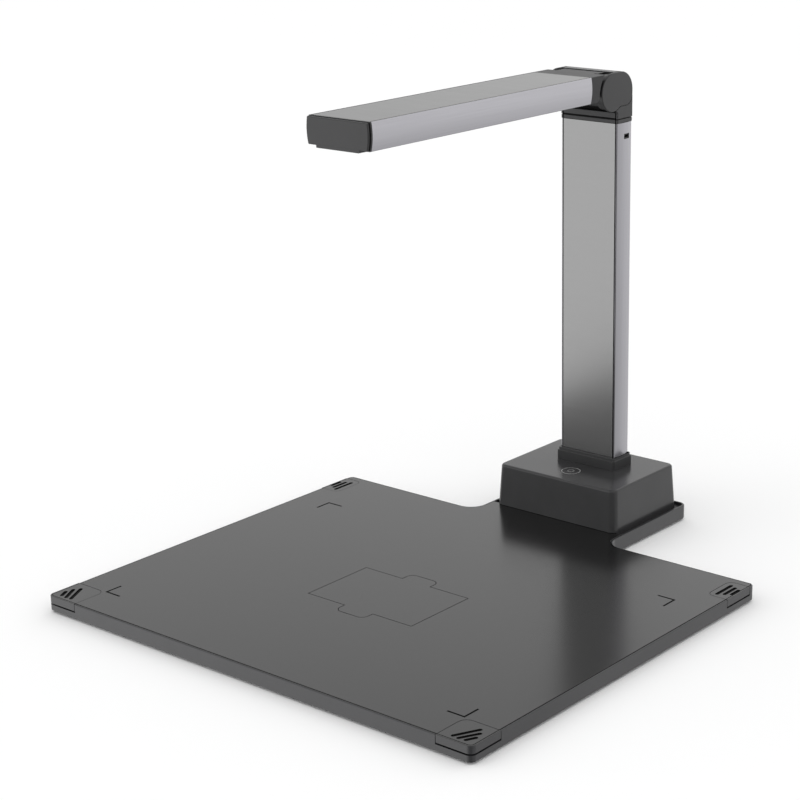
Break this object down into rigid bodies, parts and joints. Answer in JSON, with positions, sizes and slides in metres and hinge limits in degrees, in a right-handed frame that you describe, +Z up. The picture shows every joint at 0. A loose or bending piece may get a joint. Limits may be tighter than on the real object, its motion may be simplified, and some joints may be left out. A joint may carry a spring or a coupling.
{
  "type": "book scanner",
  "caption": "Document camera on a friction-hinged aluminium arm and column, over a hard page plate with spring corner clips.",
  "frame": {"origin": "middle of the object's outer box in X and Y, at the level of the soles of its feet", "axes": "+X to the user's right, +Y from the user towards the column, +Z up"},
  "size_m": [0.35, 0.391, 0.3214],
  "materials": {
    "plate_plastic": "dark grey, fine moulded texture",
    "plate_sheet": "dark grey, satin",
    "housing_plastic": "dark grey, satin moulded",
    "trim_plastic": "dark grey, fine matt",
    "black_plastic": "black",
    "anodised_aluminium": "satin anodised silver",
    "brushed_panel": "brushed across the width",
    "steel": "zinc plated",
    "brass": "turned",
    "rubber": "matt black",
    "circuit_board": "green solder mask",
    "ribbon_cable": "amber film",
    "lens_glass": "clear, coated",
    "diffuser": "milky white"
  },
  "bodies": {
    "base": {"base_plate_shell": "plate_plastic", "plate_top_sheet": "plate_sheet", "ballast_plate": "steel", "base_housing": "housing_plastic", "touch_key": "housing_plastic", "touch_board": "circuit_board", "main_board": "circuit_board", "port_board": "circuit_board", "usb_socket": "steel", "dc_socket": "black_plastic", "column_bracket": "steel", "column_screw_left": "steel", "column_screw_right": "steel", "column_collar": "trim_plastic", "column_extrusion": "anodised_aluminium", "column_front_panel": "brushed_panel", "side_port_socket": "black_plastic", "column_top_plug": "trim_plastic", "column_cable": "ribbon_cable", "hinge_bracket": "trim_plastic", "hinge_cap_left": "trim_plastic", "hinge_cap_right": "trim_plastic", "hinge_shaft": "steel", "hinge_nut": "steel", "friction_washer_left": "steel", "friction_washer_right": "steel", "torque_sleeve": "brass", "clip_pin_front_left": "steel", "clip_pin_front_right": "steel", "clip_pin_rear_left": "steel", "clip_pin_rear_right": "steel", "foot_front_left": "rubber", "foot_front_right": "rubber", "foot_middle_left": "rubber", "foot_middle_right": "rubber", "foot_rear_left": "rubber", "foot_rear_right": "rubber"},
    "arm": {"arm_knuckle": "trim_plastic", "arm_shell": "anodised_aluminium", "arm_top_panel": "brushed_panel", "arm_bottom_cover": "trim_plastic", "arm_end_cap": "trim_plastic", "camera_board": "circuit_board", "camera_lens": "black_plastic", "lens_window": "lens_glass", "led_board": "circuit_board", "led_diffuser_front": "diffuser", "led_diffuser_rear": "diffuser", "arm_cable": "ribbon_cable"},
    "corner_clip_front_left": {"corner_clip_front_left": "plate_sheet", "clip_spring_front_left": "steel"},
    "corner_clip_front_right": {"corner_clip_front_right": "plate_sheet", "clip_spring_front_right": "steel"},
    "corner_clip_rear_left": {"corner_clip_rear_left": "plate_sheet", "clip_spring_rear_left": "steel"},
    "corner_clip_rear_right": {"corner_clip_rear_right": "plate_sheet", "clip_spring_rear_right": "steel"}
  },
  "joints": [
    {"name": "arm_hinge", "type": "hinge", "parent": "base", "child": "arm", "pos_m": [0, 0.1472, 0.3084], "axis": [1, 0, 0], "range_deg": [0, 88]},
    {"name": "clip_rock_front_left", "type": "hinge", "parent": "base", "child": "corner_clip_front_left", "pos_m": [-0.1585, -0.18, 0.007], "axis": [0.4546, -0.8907, 0], "range_deg": [0, 2.2], "stiffness_Nm_per_rad": 0.5, "springref_deg": -1.15},
    {"name": "clip_rock_front_right", "type": "hinge", "parent": "base", "child": "corner_clip_front_right", "pos_m": [0.1585, -0.18, 0.007], "axis": [0.4546, 0.8907, 0], "range_deg": [0, 2.2], "stiffness_Nm_per_rad": 0.5, "springref_deg": -1.15},
    {"name": "clip_rock_rear_left", "type": "hinge", "parent": "base", "child": "corner_clip_rear_left", "pos_m": [-0.1642, 0.0748, 0.007], "axis": [0, -1, 0], "range_deg": [0, 2.2], "stiffness_Nm_per_rad": 0.5, "springref_deg": -1.15},
    {"name": "clip_rock_rear_right", "type": "hinge", "parent": "base", "child": "corner_clip_rear_right", "pos_m": [0.1642, 0.0748, 0.007], "axis": [0, 1, 0], "range_deg": [0, 2.2], "stiffness_Nm_per_rad": 0.5, "springref_deg": -1.15}
  ]
}
